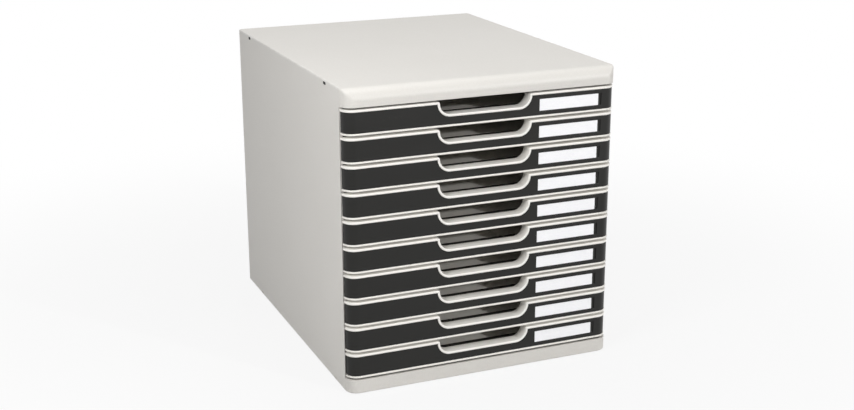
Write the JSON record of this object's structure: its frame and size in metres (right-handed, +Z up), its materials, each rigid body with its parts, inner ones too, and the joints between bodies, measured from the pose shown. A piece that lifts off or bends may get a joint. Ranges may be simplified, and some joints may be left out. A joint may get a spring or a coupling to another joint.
{
  "type": "desktop file drawer",
  "caption": "Moulded grey housing with a stack of shallow drawers for A4 papers, each with a black facing, a finger scoop and a label card.",
  "frame": {"origin": "centre of the bounding box's lower face, on the surface that the feet stand on", "axes": "+Z up, +X to the right seen from the front, the drawer fronts face -Y and slide out along -Y"},
  "size_m": [0.288, 0.36, 0.3039],
  "materials": {
    "housing_grey": "fine-grained satin",
    "tray_white": "smooth satin",
    "facing_black": "satin gloss",
    "label_white": "matt card",
    "foot_rubber": "matt"
  },
  "bodies": {
    "housing": {"housing_shell": "housing_grey", "back_panel": "housing_grey", "foot_front_left": "foot_rubber", "foot_front_right": "foot_rubber", "foot_back_left": "foot_rubber", "foot_back_right": "foot_rubber"},
    "drawer_01": {"drawer_tray_01": "tray_white", "drawer_facing_01": "facing_black", "label_card_01": "label_white"},
    "drawer_02": {"drawer_tray_02": "tray_white", "drawer_facing_02": "facing_black", "label_card_02": "label_white"},
    "drawer_03": {"drawer_tray_03": "tray_white", "drawer_facing_03": "facing_black", "label_card_03": "label_white"},
    "drawer_04": {"drawer_tray_04": "tray_white", "drawer_facing_04": "facing_black", "label_card_04": "label_white"},
    "drawer_05": {"drawer_tray_05": "tray_white", "drawer_facing_05": "facing_black", "label_card_05": "label_white"},
    "drawer_06": {"drawer_tray_06": "tray_white", "drawer_facing_06": "facing_black", "label_card_06": "label_white"},
    "drawer_07": {"drawer_tray_07": "tray_white", "drawer_facing_07": "facing_black", "label_card_07": "label_white"},
    "drawer_08": {"drawer_tray_08": "tray_white", "drawer_facing_08": "facing_black", "label_card_08": "label_white"},
    "drawer_09": {"drawer_tray_09": "tray_white", "drawer_facing_09": "facing_black", "label_card_09": "label_white"},
    "drawer_10": {"drawer_tray_10": "tray_white", "drawer_facing_10": "facing_black", "label_card_10": "label_white"}
  },
  "joints": [
    {"name": "drawer_01_slide", "type": "slide", "parent": "housing", "child": "drawer_01", "axis": [0, -1, 0], "range_m": [0, 0.25]},
    {"name": "drawer_02_slide", "type": "slide", "parent": "housing", "child": "drawer_02", "axis": [0, -1, 0], "range_m": [0, 0.25]},
    {"name": "drawer_03_slide", "type": "slide", "parent": "housing", "child": "drawer_03", "axis": [0, -1, 0], "range_m": [0, 0.25]},
    {"name": "drawer_04_slide", "type": "slide", "parent": "housing", "child": "drawer_04", "axis": [0, -1, 0], "range_m": [0, 0.25]},
    {"name": "drawer_05_slide", "type": "slide", "parent": "housing", "child": "drawer_05", "axis": [0, -1, 0], "range_m": [0, 0.25]},
    {"name": "drawer_06_slide", "type": "slide", "parent": "housing", "child": "drawer_06", "axis": [0, -1, 0], "range_m": [0, 0.25]},
    {"name": "drawer_07_slide", "type": "slide", "parent": "housing", "child": "drawer_07", "axis": [0, -1, 0], "range_m": [0, 0.25]},
    {"name": "drawer_08_slide", "type": "slide", "parent": "housing", "child": "drawer_08", "axis": [0, -1, 0], "range_m": [0, 0.25]},
    {"name": "drawer_09_slide", "type": "slide", "parent": "housing", "child": "drawer_09", "axis": [0, -1, 0], "range_m": [0, 0.25]},
    {"name": "drawer_10_slide", "type": "slide", "parent": "housing", "child": "drawer_10", "axis": [0, -1, 0], "range_m": [0, 0.25]}
  ]
}
